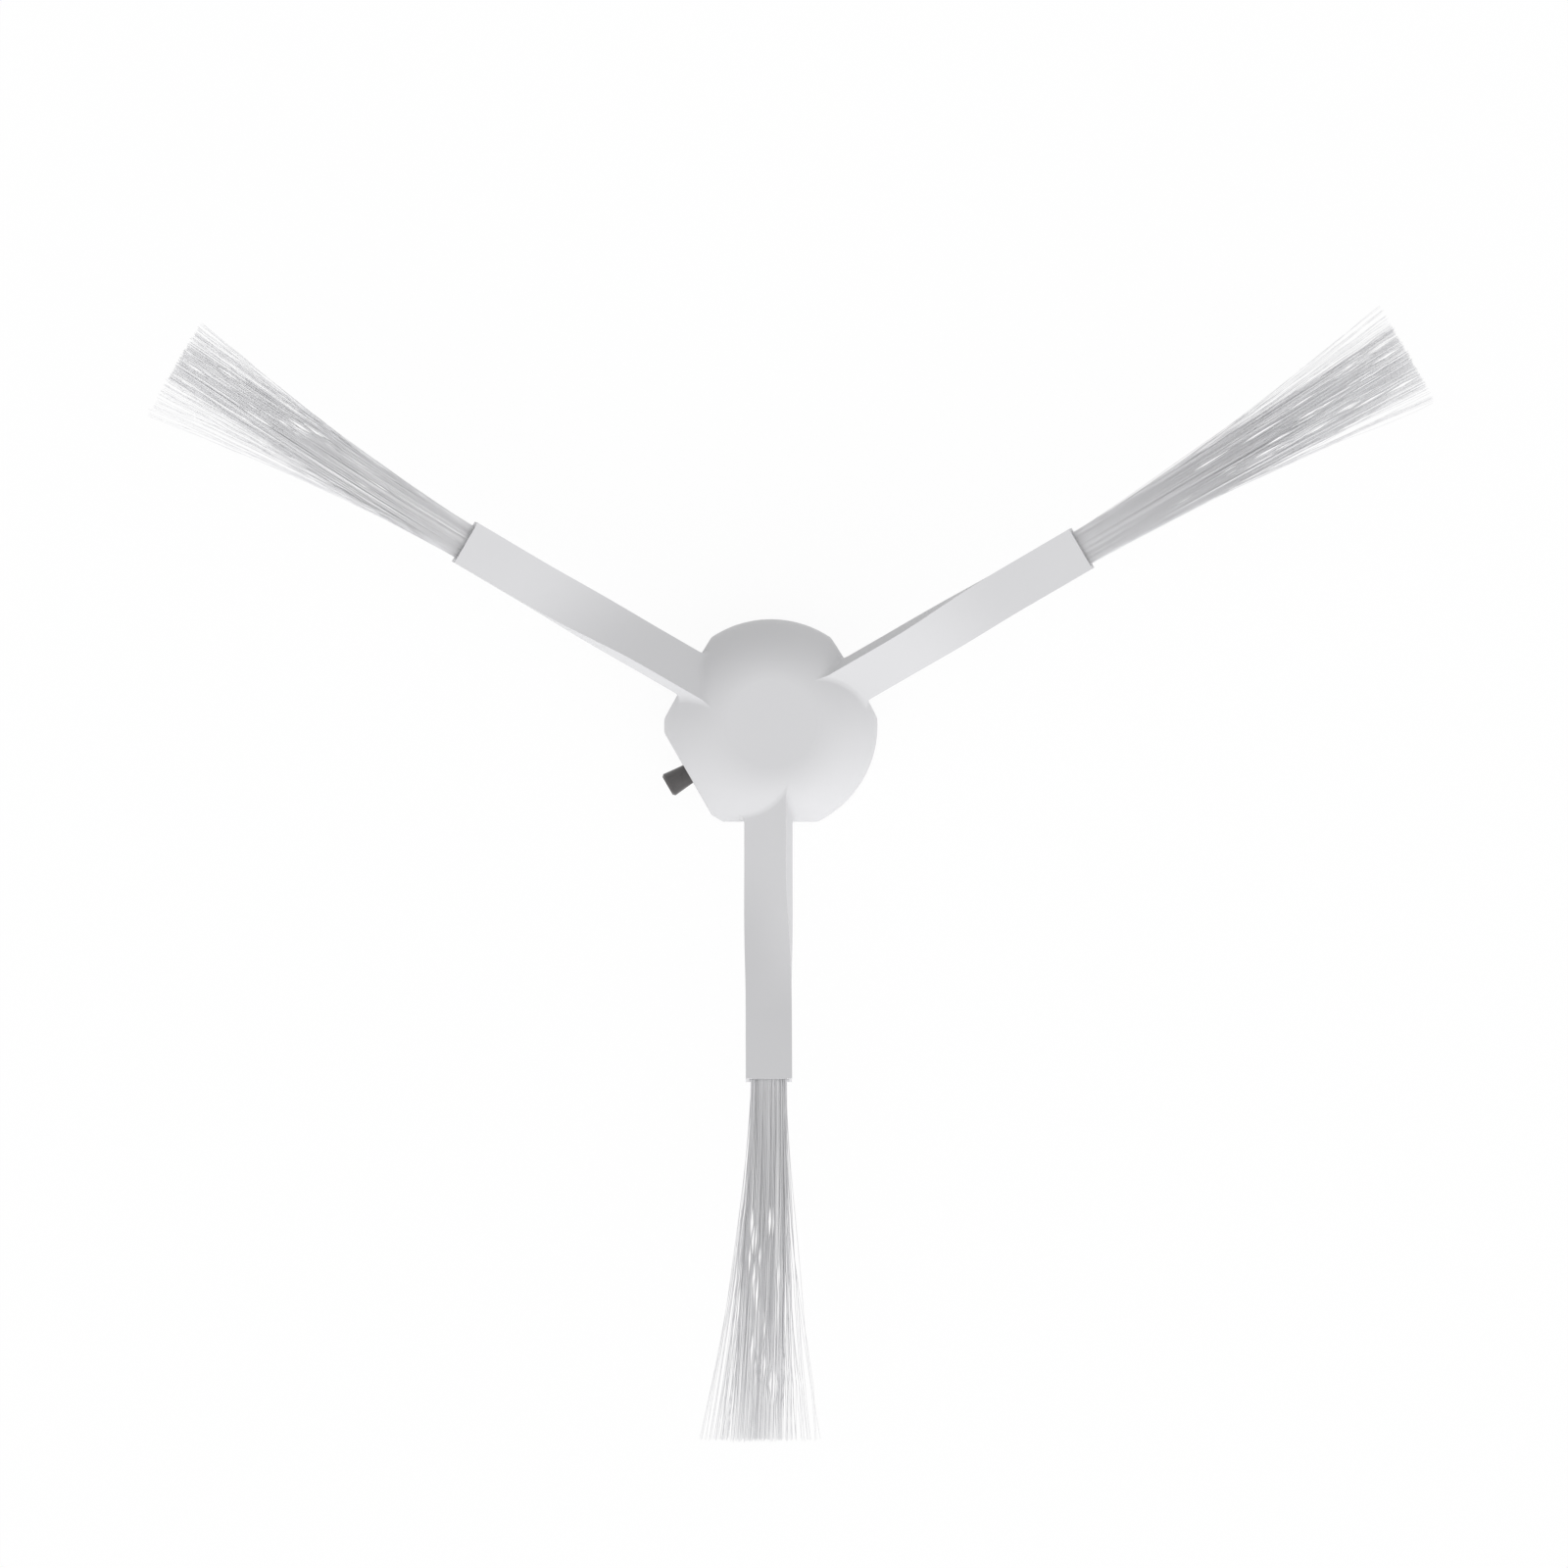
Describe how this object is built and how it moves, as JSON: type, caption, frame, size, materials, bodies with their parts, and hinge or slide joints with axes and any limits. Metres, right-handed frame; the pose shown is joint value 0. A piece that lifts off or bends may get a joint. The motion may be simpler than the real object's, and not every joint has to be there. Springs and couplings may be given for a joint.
{
  "type": "robot vacuum side brush",
  "caption": "Domed hub with a blind drive bore and twisted flat arms, each ending in a socket that holds a fanned tuft of sweeping bristles.",
  "frame": {"origin": "on the turning axis, at the mouth of the drive bore in the plane of the rear rim", "axes": "+Z along the turning axis out of the domed cap, +X between the right arm and the lower arm, +Y away from the lower arm"},
  "size_m": [0.1448, 0.1262, 0.0287],
  "materials": {
    "body_plastic": "satin moulded plastic, pale grey white",
    "bristle_nylon": "pale nylon filament",
    "pin_dark": "dark grey, slight sheen"
  },
  "bodies": {
    "root": {"brush_body": "body_plastic", "bristle_tuft_right": "bristle_nylon", "bristle_tuft_left": "bristle_nylon", "bristle_tuft_lower": "bristle_nylon", "retaining_pin": "pin_dark"}
  },
  "joints": []
}
